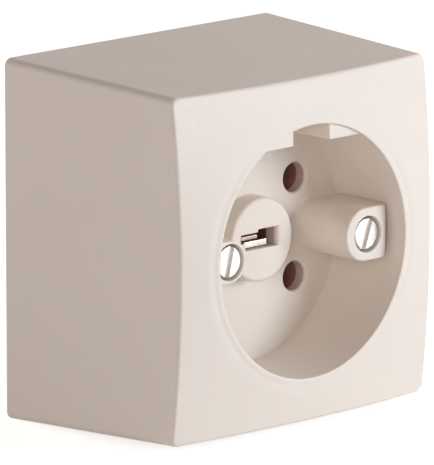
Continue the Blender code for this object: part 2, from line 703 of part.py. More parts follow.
def build_line_contact(name, centre, material):
    """A split sleeve with a flared mouth, on a tail strip that runs under the terminal."""
    x, z = centre
    outer = SLEEVE_RADIUS
    inner = SLEEVE_BORE / 2
    flare = SLEEVE_WALL / 2
    profile = [
        (outer, TAIL_FRONT_DEPTH - TAIL_THICKNESS / 2),
        (outer, SLEEVE_FRONT_DEPTH),
        (inner + flare, SLEEVE_FRONT_DEPTH),
        (inner, SLEEVE_FRONT_DEPTH - 2 * flare),
        (inner, TAIL_FRONT_DEPTH - TAIL_THICKNESS / 2),
    ]
    contact = turned(name + "_contact", centre, profile, SMALL_STEPS, material, wrap=True)
    outward = math.copysign(1, z)
    slit = rectangle(
        x - SLEEVE_SLIT / 2,
        x + SLEEVE_SLIT / 2,
        min(z, z - outward * 2 * outer),
        max(z, z - outward * 2 * outer),
    )
    slit_back = TAIL_FRONT_DEPTH + TAIL_THICKNESS
    cut(contact, prism(name + "_slit", slit, slit_back, SLEEVE_FRONT_DEPTH + CUT_OVERLAP))
    end = outward * (TERMINAL_ROW + TERMINAL_HEIGHT / 2)
    start = z - outward * inner / 2
    tail = rectangle(x - TAIL_WIDTH / 2, x + TAIL_WIDTH / 2, min(start, end), max(start, end))
    join(contact, prism(name + "_tail", tail, TAIL_BACK_DEPTH, TAIL_FRONT_DEPTH))
    return settle(contact)


def leaf_outline(outward):
    """A leaf's section in z and depth, measured from the gap between the leaves."""
    front = BOSS_DEPTH - LEAF_SINK
    far = LEAF_TIP_GAP / 2 + LEAF_TIP_THICKNESS
    near = LEAF_TIP_GAP / 2
    body = far - LEAF_THICKNESS
    round_radius = LEAF_TIP_THICKNESS / 2
    tip = arc(((near + far) / 2, front - round_radius), round_radius, 0, 180, TINY_STEPS)
    points = [(body, TAIL_BACK_DEPTH), (far, TAIL_BACK_DEPTH)] + tip
    points += [(near, front - LEAF_TIP_LENGTH), (body, front - 2 * LEAF_TIP_LENGTH)]
    middle = SLOT_BOTTOM + FIT + far
    return [(middle + outward * z, depth) for z, depth in points]


def build_earth_contact(materials):
    """Two spring leaves on one tail strip."""
    end = TERMINAL_ROW + TERMINAL_HEIGHT / 2
    tail = rectangle(-TAIL_WIDTH / 2, TAIL_WIDTH / 2, SLOT_BOTTOM + FIT, end)
    contact = prism("earth_contact", tail, TAIL_BACK_DEPTH, TAIL_FRONT_DEPTH, materials["spring"])
    for name, outward in (("upper", 1), ("lower", -1)):
        section = leaf_outline(outward)
        rings = [[Vector((x, -depth, z)) for z, depth in section] for x in (LEAF_LEFT, LEAF_RIGHTS[name])]
        join(contact, skin(name + "_leaf", rings))
    return settle(contact)


def build_terminal(name, centre, materials):
    """A brass block with a wire hole and a clamp screw."""
    x, z = centre
    half_height = TERMINAL_HEIGHT / 2
    block = prism(
        name + "_terminal",
        rounded_rectangle(TERMINAL_WIDTH, TERMINAL_HEIGHT, TERMINAL_CORNER, 2, centre),
        TERMINAL_BACK_DEPTH,
        TERMINAL_FRONT_DEPTH,
        materials["brass"],
    )
    wire_depth = TERMINAL_BACK_DEPTH + WIRE_HOLE_OFFSET
    wire_circle = circle((x, wire_depth), WIRE_HOLE_DIAMETER / 2, SMALL_STEPS)
    rings = [
        [Vector((px, -depth, z + level)) for px, depth in wire_circle]
        for level in (-half_height - CUT_OVERLAP, half_height + CUT_OVERLAP)
    ]
    cut(block, skin(name + "_wire_hole", rings))
    bore = circle(centre, TERMINAL_SHANK_DIAMETER / 2 + FIT, SMALL_STEPS)
    cut(block, prism(name + "_screw_hole", bore, wire_depth, TERMINAL_FRONT_DEPTH + CUT_OVERLAP))
    head_back = TERMINAL_FRONT_DEPTH + FIT
    build_screw(
        name + "_screw",
        centre,
        (TERMINAL_HEAD_DIAMETER / 2, head_back, head_back + TERMINAL_HEAD_HEIGHT),
        (TERMINAL_SHANK_DIAMETER / 2, wire_depth + WIRE_HOLE_DIAMETER / 4),
        (TERMINAL_SLOT_WIDTH, TERMINAL_SLOT_DEPTH),
        TERMINAL_SLOT_ANGLE,
        materials["steel"],
    )
    return settle(block)


def build_nut_inserts(materials):
    """The threaded brass inserts for the cover screws."""
    outer = INSERT_RADIUS
    inner = COVER_SHANK_DIAMETER / 2 + SHANK_FIT
    middle = (INSERT_BACK_DEPTH + INSERT_FRONT_DEPTH) / 2
    profile = [
        (outer, INSERT_BACK_DEPTH),
        (outer, middle - INSERT_GROOVE),
        (outer - INSERT_GROOVE, middle - INSERT_GROOVE),
        (outer - INSERT_GROOVE, middle + INSERT_GROOVE),
        (outer, middle + INSERT_GROOVE),
        (outer, INSERT_FRONT_DEPTH),
        (inner, INSERT_FRONT_DEPTH),
        (inner, INSERT_BACK_DEPTH),
    ]
    for side, direction in SIDES.items():
        centre = (direction * POST_COLUMN, 0)
        turned("nut_insert_" + side, centre, profile, SMALL_STEPS, materials["brass"], wrap=True)


def build_carrier_screws(materials):
    """The screws that hold the carrier to the back plate's pillars."""
    seat = CARRIER_BACK_DEPTH + CARRIER_SEAT_THICKNESS + FIT
    for side, centre in carrier_screw_places().items():
        build_screw(
            "carrier_screw_" + side,
            centre,
            (CARRIER_HEAD_DIAMETER / 2, seat, seat + CARRIER_HEAD_HEIGHT),
            (CARRIER_SHANK_DIAMETER / 2, CARRIER_SCREW_REACH),
            (TERMINAL_SLOT_WIDTH, TERMINAL_SLOT_DEPTH),
            CARRIER_SLOT_ANGLE,
            materials["steel"],
        )


def build_back_plate(materials):
    """The wall plate with its upstand, pillars, fixing slots and cable entry."""
    corner = COVER_CORNER_RADIUS
    outline = rounded_rectangle(2 * PLATE_HALF, 2 * PLATE_HALF, corner)
    plate = prism("back_plate", outline, 0, PLATE_FRONT_DEPTH, materials["plate"])
    tray = rounded_rectangle(2 * TRAY_HALF, 2 * TRAY_HALF, corner)
    cut(plate, prism("tray_cutter", tray, PLATE_THICKNESS, PLATE_FRONT_DEPTH + CUT_OVERLAP))
    gap_half = BREAKOUT_WIDTH / 2 + BREAKOUT_MARGIN
    gap = rectangle(-gap_half, gap_half, -PLATE_HALF - CUT_OVERLAP, -TRAY_HALF + BREAKOUT_MARGIN)
    cut(plate, prism("upstand_gap", gap, PLATE_THICKNESS + FIT, PLATE_FRONT_DEPTH + CUT_OVERLAP))
    for side, centre in carrier_screw_places().items():
        pillar = circle(centre, PILLAR_DIAMETER / 2, HOLE_STEPS)
        join(plate, prism("pillar_" + side, pillar, PLATE_THICKNESS / 2, PILLAR_DEPTH))
        bore = circle(centre, CARRIER_SHANK_DIAMETER / 2 + SHANK_FIT, SMALL_STEPS)
        bottom = CARRIER_SCREW_REACH - FIT
        cut(plate, prism("pillar_bore_" + side, bore, bottom, PILLAR_DEPTH + CUT_OVERLAP))
    radius = (FIXING_SLOT_WIDTH - FIXING_SLOT_FLAT) / 2
    for column in (-FIXING_COLUMN, FIXING_COLUMN):
        for row in (-FIXING_ROW, FIXING_ROW):
            slot = rounded_rectangle(
                FIXING_SLOT_WIDTH, FIXING_SLOT_LENGTH, radius, TINY_STEPS, (column, row)
            )
            name = "fixing_{}_{}".format("left" if column < 0 else "right", "low" if row < 0 else "high")
            cut(plate, prism(name, slot, -CUT_OVERLAP, PLATE_THICKNESS + CUT_OVERLAP))
    entry = circle((0, CABLE_ENTRY_HEIGHT), CABLE_ENTRY_DIAMETER / 2, ENTRY_STEPS)
    cut(plate, prism("entry_cutter", entry, -CUT_OVERLAP, PLATE_THICKNESS + CUT_OVERLAP))
    return settle(plate)


def build_grommet(materials):
    """The soft ring in the cable entry, with a flange on the inner side."""
    bore = GROMMET_RADIUS - GROMMET_WALL
    flange = GROMMET_RADIUS + GROMMET_FLANGE
    inner_face = PLATE_THICKNESS + GROMMET_FLANGE_THICKNESS
    profile = [
        (bore + GROMMET_CHAMFER, FIT),
        (GROMMET_RADIUS, FIT),
        (GROMMET_RADIUS, PLATE_THICKNESS + FIT),
        (flange, PLATE_THICKNESS + FIT),
        (flange, inner_face),
        (bore, inner_face + GROMMET_CHAMFER),
        (bore, GROMMET_CHAMFER_DEPTH),
    ]
    centre = (0, CABLE_ENTRY_HEIGHT)
    turned("cable_grommet", centre, profile, ENTRY_STEPS, materials["rubber"], wrap=True)


def main():
    clear_scene()
    materials = make_materials()
    build_cover(materials)
    build_cover_screws(materials)
    build_carrier(materials)
    build_carrier_back(materials)
    for name, centre in LINES.items():
        build_line_contact(name, centre, materials["spring"])
    build_earth_contact(materials)
    for name, centre in terminal_places().items():
        build_terminal(name, centre, materials)
    build_nut_inserts(materials)
    build_carrier_screws(materials)
    build_back_plate(materials)
    build_grommet(materials)


main()
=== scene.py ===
"""Looks of the surface mounted five-pole socket outlet: fine shapes, finishes, light and camera.

Lengths are in metres. The origin is the centre of the wall face, +Z is up and the front faces -Y.
A depth is a distance from the wall, so a depth d lies at y = -d.
"""

import json
import math

import bmesh
import bpy
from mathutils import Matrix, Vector


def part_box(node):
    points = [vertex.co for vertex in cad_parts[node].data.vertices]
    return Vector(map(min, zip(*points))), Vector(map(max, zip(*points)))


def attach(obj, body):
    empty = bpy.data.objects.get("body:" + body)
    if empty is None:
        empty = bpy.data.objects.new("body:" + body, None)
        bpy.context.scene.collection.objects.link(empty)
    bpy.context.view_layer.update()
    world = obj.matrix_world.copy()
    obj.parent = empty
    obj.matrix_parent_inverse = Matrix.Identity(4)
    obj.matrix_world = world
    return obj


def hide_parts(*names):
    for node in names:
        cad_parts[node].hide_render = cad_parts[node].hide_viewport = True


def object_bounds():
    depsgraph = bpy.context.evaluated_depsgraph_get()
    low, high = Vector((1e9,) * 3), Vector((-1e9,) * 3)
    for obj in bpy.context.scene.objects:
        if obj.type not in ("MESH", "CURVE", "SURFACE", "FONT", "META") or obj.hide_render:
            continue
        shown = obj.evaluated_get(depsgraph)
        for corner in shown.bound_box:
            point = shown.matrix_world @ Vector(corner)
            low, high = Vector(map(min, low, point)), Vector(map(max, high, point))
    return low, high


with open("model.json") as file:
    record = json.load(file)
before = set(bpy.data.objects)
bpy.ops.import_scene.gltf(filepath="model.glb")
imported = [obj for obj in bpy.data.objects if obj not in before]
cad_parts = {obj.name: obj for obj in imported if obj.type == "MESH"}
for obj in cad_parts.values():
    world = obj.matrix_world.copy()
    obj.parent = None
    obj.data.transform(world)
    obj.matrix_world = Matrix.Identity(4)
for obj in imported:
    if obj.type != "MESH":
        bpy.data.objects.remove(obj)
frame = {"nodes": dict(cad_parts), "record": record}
cad_low, cad_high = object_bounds()

MM = 0.001
BODY = "root"

# Camera, at the photograph's viewing angle
IMAGE_LONG_SIDE = 465
CAMERA_AZIMUTH = math.radians(-43.74)
CAMERA_ELEVATION = math.radians(12.24)
CAMERA_DISTANCE = 1.6
PIXELS_PER_METRE = 4538.7
SENSOR_WIDTH = 36.0
TARGET_RIGHT = 17.04 * MM
TARGET_UP = -4.32 * MM
CLIP_START = 0.05
CLIP_END = 50

# Light: azimuth and elevation in degrees, distance and size in metres, power in watts, colour
SOFTBOXES = {
    "key": (30, 10, 0.9, 0.4, 5.1, (0.81, 0.90, 1.0)),
    "high": (42, 35, 0.9, 0.5, 0.8, (1.0, 0.90, 0.84)),
    "front_left": (-50, 12, 0.9, 0.5, 2.0, (1.0, 0.92, 0.90)),
    "back_left": (-130, 10, 0.9, 0.6, 2.1, (1.0, 0.94, 0.94)),
    "back": (180, 8, 0.9, 0.6, 1.6, (1.0, 0.95, 0.92)),
    "top_right": (90, 40, 0.9, 0.6, 2.5, (1.0, 0.81, 0.73)),
}
SKY_COLOR = (1.0, 0.97, 0.95)
SKY_STRENGTH = 0.04
FLOOR_SIZE = 1.6
FLOOR_COLOR = (0.86, 0.85, 0.84, 1.0)
FLOOR_ROUGHNESS = 0.9
FLOOR_GLOW = 0.7

# Metals: name, darkest and lightest tone, least and most roughness, grain
METALS = {
    "spring": ("tin_plate", (0.52, 0.47, 0.41), (0.68, 0.63, 0.57), 0.2, 0.34, 0.5 * MM),
    # The upper leaf's darker tin is painted shade: a shaded copy of the spring's tin.
    "spring painted shade": ("tin_painted_shade", (0.25, 0.19, 0.15), (0.40, 0.33, 0.28), 0.34, 0.46, 0.5 * MM),
    "terminal": ("machined_brass", (0.68, 0.47, 0.19), (0.76, 0.55, 0.25), 0.22, 0.36, 0.4 * MM),
    "screw": ("zinc_plate", (0.68, 0.68, 0.67), (0.78, 0.78, 0.76), 0.14, 0.28, 0.4 * MM),
    # The slot's darker zinc is painted shade in the screw's driver slot.
    "screw slot painted shade": ("zinc_painted_slot_shade", (0.60, 0.57, 0.54), (0.68, 0.65, 0.62), 0.4, 0.55, 0.3 * MM),
}
METAL_TONE_GRAINS = 4
METAL_GLOSS_GRAINS = 2
METAL_RELIEF_HEIGHT = 0.01 * MM
METAL_RELIEF_STRENGTH = 0.2

# Cream plastics: name, darkest and lightest tone
CREAMS = {
    "cover": ("cream_moulding", (0.832, 0.752, 0.67), (0.842, 0.764, 0.684)),
    # This darker cream is painted shade on the walls of the pin holes and of the boss's slot.
    "cover painted hole shade": ("cream_painted_hole_shade", (0.66, 0.52, 0.44), (0.68, 0.54, 0.46)),
}
CREAM_SPECULAR = 0.18
CREAM_SUBSURFACE = 0.08
CREAM_SUBSURFACE_RADIUS = (1.0, 0.6, 0.4)
CREAM_SUBSURFACE_SCALE = 1.2 * MM

# Noise: the two values between which a drift runs, and levels of detail
NOISE_LOW = 0.3
NOISE_HIGH = 0.7
TONE_DETAIL = 3.0
FINE_DETAIL = 2.0

# Cover: cap
COVER_DRAFT = 2.1 * MM
COVER_CORNER_RADIUS = 1.8 * MM
COVER_WALL = 2.4 * MM
INNER_CORNER_RADIUS = 0.6 * MM
BACK_EDGE = 0.3 * MM
FRONT_WALL = 2.8 * MM
FRONT_CROWN = 4.2 * MM
FRONT_ARCH = 2.5 * MM
FRONT_EDGE_RADIUS = 0.9 * MM
LAND_WIDTH = 2.2 * MM
LIP_WIDTH = 0.9 * MM
LIP_HEIGHT = 0.3 * MM
LIP_EDGE = 0.25 * MM
LIP_CREST = 0.45 * MM
LIP_SLOPE = 1.5 * MM

# Cover: well
WELL_RADIUS = 27.8 * MM
WELL_DEPTH = 20.6 * MM
WELL_WALL = 2.2 * MM
FLOOR_THICKNESS = 3.0 * MM
KEY_CHORD_RISE = 4.2 * MM
KEY_NOTCH_WIDTH = 10.7 * MM
KEY_FACE_DROP = 0.6 * MM
KEY_EDGE = 0.3 * MM
KEY_CORNER = 0.5 * MM
STAY_THICKNESS = 1.8 * MM
STAY_HEIGHT = 13.0 * MM
STAY_SINK = 0.4 * MM

# Cover: pin holes, boss and posts
PIN_COLUMN = 14.6 * MM
PIN_ROW = 11.0 * MM
PIN_HOLE_RADIUS = 3.3 * MM
PIN_HOLE_EDGE = 0.75 * MM
BOSS_RADIUS = 9.3 * MM
BOSS_HEIGHT = 4.8 * MM
BOSS_EDGE = 0.8 * MM
BOSS_FACE_THICKNESS = 3.7 * MM
BOSS_WALL = 1.2 * MM
SLOT_LEFT = -6.3 * MM
SLOT_LEFT_LOW = -4.9 * MM
SLOT_LEFT_STEP = -0.18 * MM
SLOT_RIGHT = 4.7 * MM
SLOT_STEP = -1.1 * MM
SLOT_BOTTOM = -1.83 * MM
SLOT_TOP_WIDE = 2.47 * MM
SLOT_TOP_NARROW = 1.82 * MM
SLOT_CORNER = 0.3 * MM
SLOT_EDGE = 0.25 * MM
SLOT_RIGHT_EDGE = 1.3 * MM
SLOT_CUT_OVERLAP = 1.0 * MM
POST_SINK = 4.1 * MM
POST_RADII = {"left": 4.7 * MM, "right": 5.9 * MM}
POST_ROUND_OFFSETS = {"left": 0.0, "right": 0.6 * MM}
POST_FLAT_OFFSET = 6.3 * MM
POST_CORNER = 0.8 * MM
POST_WALL_EDGE = 1.6 * MM
POST_EDGE = 0.45 * MM
HEAD_BORE_RADIUS = 4.05 * MM
HEAD_BORE_EDGE = 0.2 * MM
SHANK_BORE_RADIUS = 2.3 * MM
SEAT_BELOW_POST = 3.3 * MM
RAISED_FOOT = 0.5 * MM

# Cable break-out
BREAKOUT_WIDTH = 16.0 * MM
BREAKOUT_DEPTH = 14.0 * MM
BREAKOUT_WEB = 0.9 * MM

# Cover screws
HEAD_HEIGHT = 2.6 * MM
HEAD_EDGE = 0.3 * MM
SHANK_RADIUS = 2.0 * MM
SHANK_POINT = 0.6 * MM
DRIVER_SLOT_WIDTH = 1.4 * MM
DRIVER_SLOT_DEPTH = 0.8 * MM
DRIVER_SLOT_ANGLES = {"left": -14.0, "right": -20.0}
SCREW_BEVEL = 0.07 * MM

# Earth contact
LEAF_ENDS = {"upper": (-4.9 * MM, -0.2 * MM), "lower": (-3.9 * MM, 2.6 * MM)}
LEAF_THICKNESS = 0.8 * MM
LEAF_TIP_THICKNESSES = {"upper": 1.05 * MM, "lower": 1.6 * MM}
LEAF_TIP_LENGTH = 1.8 * MM
LEAF_TIP_EDGE = 0.3 * MM
LEAF_TIP_GAP = 0.25 * MM
LEAF_CLEARANCE = 0.08 * MM
LEAF_BEVEL = 0.12 * MM
TAIL_WIDTH = 5.0 * MM
TAIL_THICKNESS = 1.0 * MM

# Back plate and grommet
PLATE_THICKNESS = 2.6 * MM
UPSTAND_THICKNESS = 1.6 * MM
PLATE_CORNER = 1.8 * MM
PLATE_EDGE = 0.3 * MM
PILLAR_RADIUS = 4.0 * MM
PILLAR_DEPTH = 8.4 * MM
PILLAR_BORE_RADIUS = 2.0 * MM
PILLAR_BORE_BOTTOM = 3.3 * MM
FIXING_COLUMN = 30.92 * MM
FIXING_ROW = 19.0 * MM
FIXING_SLOT_WIDTH = 4.6 * MM
FIXING_SLOT_LENGTH = 9.0 * MM
ENTRY_RADIUS = 9.0 * MM
UPSTAND_GAP_HALF = 9.0 * MM
UPSTAND_GAP_RISE = 0.3 * MM
UPSTAND_GAP_OVERLAP = 1.0 * MM
GROMMET_BORE = 6.0 * MM
GROMMET_BODY = 8.7 * MM
GROMMET_FLANGE = 10.3 * MM
GROMMET_BACK = 0.3 * MM
GROMMET_SEAT = 2.9 * MM
GROMMET_EDGE = 0.5 * MM
GROMMET_BACK_EDGE = 1.0 * MM

# Mesh density
SHARP_ANGLE = math.radians(32)
BEVEL_SEGMENTS = 2
EDGE_STEPS = 36
CORNER_STEPS = 8
CORNER_FAN = math.radians(0.8)
FRONT_RINGS = 10
ROUND_STEPS = 5
SLOPE_STEPS = 8
CIRCLE_STEPS = 96
SMALL_STEPS = 48
ARC_STEPS = 16
CUT_OVERLAP = 4 * MM
TOUCH = 0.01 * MM

# Places taken from the frame, and what follows from them
cover_low, cover_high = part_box("front_cover")
plate_low, plate_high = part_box("back_plate")
contact_low, contact_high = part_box("earth_contact")
grommet_low, grommet_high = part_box("cable_grommet")
HALF = cover_high.x
LIP_DEPTH = -cover_low.y
LAND_DEPTH = LIP_DEPTH - LIP_HEIGHT
LAND_RADIUS = WELL_RADIUS + LIP_WIDTH + LAND_WIDTH
CORNER_DEPTH = LAND_DEPTH - FRONT_CROWN
FLOOR_DEPTH = LAND_DEPTH - WELL_DEPTH
FLOOR_BACK = FLOOR_DEPTH - FLOOR_THICKNESS
FLOOR_MIDDLE = FLOOR_DEPTH - FLOOR_THICKNESS / 2
BOSS_DEPTH = FLOOR_DEPTH + BOSS_HEIGHT
BOSS_ROOF = BOSS_DEPTH - BOSS_FACE_THICKNESS
LEAF_MIDDLE = SLOT_BOTTOM + LEAF_CLEARANCE + LEAF_TIP_THICKNESSES["lower"] + LEAF_TIP_GAP / 2
POST_DEPTH = LAND_DEPTH - POST_SINK
FRONT_HALF = HALF - COVER_DRAFT
KEY_CHORD_HEIGHT = WELL_RADIUS - KEY_CHORD_RISE
STAY_FRONT = LAND_DEPTH - FRONT_WALL + STAY_SINK
ENTRY_HEIGHT = (grommet_low.z + grommet_high.z) / 2
PLATE_HALF = plate_high.x
PLATE_FRONT = -plate_low.y
TRAY_HALF = PLATE_HALF - UPSTAND_THICKNESS
SIDES = {"left": -1, "right": 1}


def screw_place(node):
    """A screw's axis as (x, z), from its CAD node."""
    low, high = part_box(node)
    return (low.x + high.x) / 2, (low.z + high.z) / 2


POST_COLUMN = screw_place("cover_screw_right")[0]
PILLAR_PLACES = [screw_place("carrier_screw_" + side) for side in SIDES]


def arc(centre, radius, start, end, steps=ARC_STEPS):
    """Points of an arc, both ends included; angles in degrees."""
    angles = [math.radians(start + (end - start) * i / steps) for i in range(steps + 1)]
    return [(centre[0] + radius * math.cos(a), centre[1] + radius * math.sin(a)) for a in angles]


def circle(centre, radius, steps=CIRCLE_STEPS):
    """Points around a centre, anticlockwise from +X."""
    return arc(centre, radius, 0, 360, steps)[:-1]


def rectangle(left, right, bottom, top):
    """Corners of a rectangle, anticlockwise."""
    return [(left, bottom), (right, bottom), (right, top), (left, top)]


def mirrored(outline, direction):
    """The outline, or its mirror image in x, still anticlockwise."""
    return outline if direction > 0 else [(-x, z) for x, z in reversed(outline)]


def rotated(x, z, angle):
    """An (x, z) point turned about the origin."""
    return x * math.cos(angle) - z * math.sin(angle), x * math.sin(angle) + z * math.cos(angle)


def rounded_corners(corners, radius):
    """A polygon of right angles with each corner rounded, inner ones too."""
    points = []
    for i, corner in enumerate(corners):
        here = Vector(corner)
        back = (Vector(corners[i - 1]) - here).normalized()
        ahead = (Vector(corners[(i + 1) % len(corners)]) - here).normalized()
        centre = here + (back + ahead) * radius
        for step in range(ROUND_STEPS + 1):
            turn = math.pi / 2 * step / ROUND_STEPS
            point = centre - ahead * radius * math.cos(turn)
            points.append(tuple(point - back * radius * math.sin(turn)))
    return points


def grown(outline, distance):
    """An anticlockwise outline moved outward, mitred at its corners."""
    moved = []
    for i, point in enumerate(outline):
        here = Vector(point)
        arrive = (here - Vector(outline[i - 1])).normalized()
        leave = (Vector(outline[(i + 1) % len(outline)]) - here).normalized()
        first = Vector((arrive.y, -arrive.x))
        second = Vector((leave.y, -leave.x))
        moved.append(tuple(here + (first + second) * (distance / (1 + first.dot(second)))))
    return moved


def place(outline, depth):
    """The (x, z) outline at one depth."""
    return [Vector((x, -depth, z)) for x, z in outline]


def stack(outline, levels):
    """Rings of one outline at (growth, depth) levels."""
    return [place(grown(outline, growth), depth) for growth, depth in levels]


def prism(outline, bottom, top):
    """A straight body on one outline, between two depths."""
    return [place(outline, bottom), place(outline, top)]


def foot_levels(base, surface):
    """Levels of a raised form's sunk base and of its concave foot on a surface."""
    quarter = arc((0, surface - TOUCH + RAISED_FOOT), RAISED_FOOT, -90, 0, ROUND_STEPS)
    return [(RAISED_FOOT, base)] + [(RAISED_FOOT - growth, depth) for growth, depth in quarter]


def raised_levels(base, surface, top, edge):
    """Levels of a raised form with a rounded front edge."""
    return foot_levels(base, surface) + arc((-edge, top - edge), edge, 0, 90, ROUND_STEPS)


def edge_growth(depth, top, radius):
    """The growth, zero or less, of an outline at one depth below a rounded front edge."""
    rise = min(max(depth - top + radius, 0), radius)
    return math.sqrt(radius * radius - rise * rise) - radius


def sunk_levels(bottom, surface, edge):
    """Levels of a cutter whose mouth is rounded over at a surface."""
    quarter = arc((0, surface + TOUCH - edge), edge, 0, 90, ROUND_STEPS)
    levels = [(0, bottom)] + [(edge - growth, depth) for growth, depth in quarter]
    levels.append((edge, surface + CUT_OVERLAP))
    return levels


def turned(centre, profile, steps=CIRCLE_STEPS):
    """Rings turned about a line along Y; the profile is (radius, depth) pairs."""
    return [place(circle(centre, radius, steps), depth) for radius, depth in profile]


def add_skin(bm, rings, wrap):
    """A closed body through rings of as many points each, capped or wrapped around."""
    loops = [[bm.verts.new(point) for point in ring] for ring in rings]
    count = len(loops[0])
    pairs = list(zip(loops, loops[1:]))
    if wrap:
        pairs.append((loops[-1], loops[0]))
    faces = []
    for first, second in pairs:
        for i in range(count):
            j = (i + 1) % count
            faces.append(bm.faces.new((first[i], first[j], second[j], second[i])))
    if not wrap:
        faces += [bm.faces.new(loops[0]), bm.faces.new(loops[-1])]
    bmesh.ops.recalc_face_normals(bm, faces=faces)


def make_piece(name, bodies, wrap=False):
    """A mesh object from one or more closed bodies, each a list of rings."""
    bm = bmesh.new()
    for rings in bodies:
        add_skin(bm, rings, wrap)
    mesh = bpy.data.meshes.new(name)
    bm.to_mesh(mesh)
    bm.free()
    piece = bpy.data.objects.new(name, mesh)
    bpy.context.scene.collection.objects.link(piece)
    return piece


def combine(target, bodies, operation):
    """Join bodies to the target, or cut them from it, for good."""
    tool = make_piece("tool", bodies)
    modifier = target.modifiers.new("combine", "BOOLEAN")
    modifier.operation = operation
    modifier.solver = "EXACT"
    modifier.object = tool
    depsgraph = bpy.context.evaluated_depsgraph_get()
    mesh = bpy.data.meshes.new_from_object(target.evaluated_get(depsgraph))
    target.modifiers.clear()
    mesh.name = target.name
    target.data = mesh
    bpy.data.objects.remove(tool, do_unlink=True)


def finish_piece(piece, material, slot, *nodes, bevel=0.0):
    """Shade a piece, give it its finish, and put it in place of its CAD nodes."""
    mesh = piece.data
    mesh.materials.clear()
    mesh.materials.append(material)
    mesh.shade_smooth()
    mesh.set_sharp_from_angle(angle=SHARP_ANGLE)
    if bevel:
        rounding = piece.modifiers.new("rounding", "BEVEL")
        rounding.width = bevel
        rounding.segments = BEVEL_SEGMENTS
        rounding.limit_method = "ANGLE"
        rounding.angle_limit = SHARP_ANGLE
    normals = piece.modifiers.new("normals", "WEIGHTED_NORMAL")
    normals.keep_sharp = True
    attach(piece, BODY)
    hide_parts(*nodes)


def paint_shade_on_faces(piece, material, picked):
    """Give a darker copy of a finish, painted shade, to the faces that a test picks."""
    piece.data.materials.append(material)
    for face in piece.data.polygons:
        face.material_index = 1 if picked(face) else 0


def square_outline(half, radius):
    """A rounded square, with the same number of points whatever its size."""
    flat = half - radius
    quarter = [(half, (-1 + 2 * i / EDGE_STEPS) * flat) for i in range(EDGE_STEPS + 1)]
    bends = [i / CORNER_STEPS * math.pi / 2 for i in range(1, CORNER_STEPS)]
    quarter += [(flat + radius * math.cos(a), flat + radius * math.sin(a)) for a in bends]
    return [rotated(x, z, side * math.pi / 2) for side in range(4) for x, z in quarter]


def rim_angles():
    """The angle on the rim that each point of a rounded square leads to."""
    eighth = math.pi / 4 - CORNER_FAN
    quarter = [(-1 + 2 * i / EDGE_STEPS) * eighth for i in range(EDGE_STEPS + 1)]
    quarter += [eighth + 2 * CORNER_FAN * (i / CORNER_STEPS) for i in range(1, CORNER_STEPS)]
    return [angle + side * math.pi / 2 for side in range(4) for angle in quarter]


def towards(start, end, distance):
    """The point at a distance from the start on the way to the end."""
    return start + (end - start).normalized() * distance


def arched_ring(wall, radius, front_wall):
    """The cap's front edge line on its flat drafted sides, deepest in the middle of each side."""
    front_half = FRONT_HALF - wall
    feet = square_outline(HALF - wall, radius)
    corners = square_outline(front_half, radius)
    ring = []
    for (foot_x, foot_z), (x, z) in zip(feet, corners):
        foot = Vector((foot_x, 0, foot_z))
        slope = (Vector((x, -CORNER_DEPTH, z)) - foot) / CORNER_DEPTH
        inner = min(abs(x), abs(z)) / front_half
        depth = CORNER_DEPTH + FRONT_ARCH * (1 - inner * inner) - front_wall
        ring.append(foot + slope * depth)
    return ring


def rim_profile():
    """The well from its floor over the lip and its slope to the land, as (radius, depth) pairs."""
    points = [(WELL_RADIUS, FLOOR_DEPTH)]
    points += arc((WELL_RADIUS + LIP_EDGE, LIP_DEPTH - LIP_EDGE), LIP_EDGE, 180, 90, ROUND_STEPS)
    for step in range(SLOPE_STEPS + 1):
        share = step / SLOPE_STEPS
        drop = LIP_HEIGHT * (1 - math.cos(math.pi * share)) / 2
        points.append((WELL_RADIUS + LIP_CREST + LIP_SLOPE * share, LIP_DEPTH - drop))
    points.append((LAND_RADIUS, LAND_DEPTH))
    return points


def cap_rings():
    """The cap and its well as one skin: floor, rim, front, sides, back, inside and housing."""
    angles = rim_angles()

    def round_ring(radius, depth):
        """A circle whose points lie where the square's points lead."""
        return place([(radius * math.cos(a), radius * math.sin(a)) for a in angles], depth)

    rings = [round_ring(radius, depth) for radius, depth in rim_profile()]
    lands = rings[-1]
    edges = arched_ring(0, COVER_CORNER_RADIUS, 0)
    backs = place(square_outline(HALF, COVER_CORNER_RADIUS), 0)
    fronts = [towards(edge, land, FRONT_EDGE_RADIUS) for edge, land in zip(edges, lands)]
    sides = [towards(edge, back, FRONT_EDGE_RADIUS) for edge, back in zip(edges, backs)]
    for step in range(1, FRONT_RINGS):
        share = step / FRONT_RINGS
        rings.append([land.lerp(front, share) for land, front in zip(lands, fronts)])

    # A quadratic curve from the front round the edge to the sides
    for step in range(ROUND_STEPS + 1):
        share = step / ROUND_STEPS
        first, second, third = (1 - share) ** 2, 2 * share * (1 - share), share**2
        blends = zip(fronts, edges, sides)
        rings.append([first * f + second * e + third * s for f, e, s in blends])

    rings.append([towards(back, side, BACK_EDGE) for back, side in zip(backs, sides)])
    rings.append(place(square_outline(HALF - BACK_EDGE, COVER_CORNER_RADIUS - BACK_EDGE), 0))
    rings.append(place(square_outline(HALF - COVER_WALL, INNER_CORNER_RADIUS), 0))
    rings.append(arched_ring(COVER_WALL, INNER_CORNER_RADIUS, FRONT_WALL))
    housing = WELL_RADIUS + WELL_WALL
    rings.append(round_ring(LAND_RADIUS, LAND_DEPTH - FRONT_WALL))
    rings.append(round_ring(housing, LAND_DEPTH - FRONT_WALL))
    rings.append(round_ring(housing, FLOOR_BACK))
    return rings


def key_outline(direction):
    """One of the two tabs beside the notch: a flat chord below, sunk in the well's wall outside."""
    sunk = WELL_RADIUS + WELL_WALL / 2
    half_notch = KEY_NOTCH_WIDTH / 2
    chord_angle = math.degrees(math.asin(KEY_CHORD_HEIGHT / sunk))
    notch_angle = math.degrees(math.acos(half_notch / sunk))
    corner = (half_notch + KEY_CORNER, KEY_CHORD_HEIGHT + KEY_CORNER)
    outline = arc(corner, KEY_CORNER, 180, 270, ROUND_STEPS)
    outline += arc((0, 0), sunk, chord_angle, notch_angle)
    return mirrored(outline, direction)


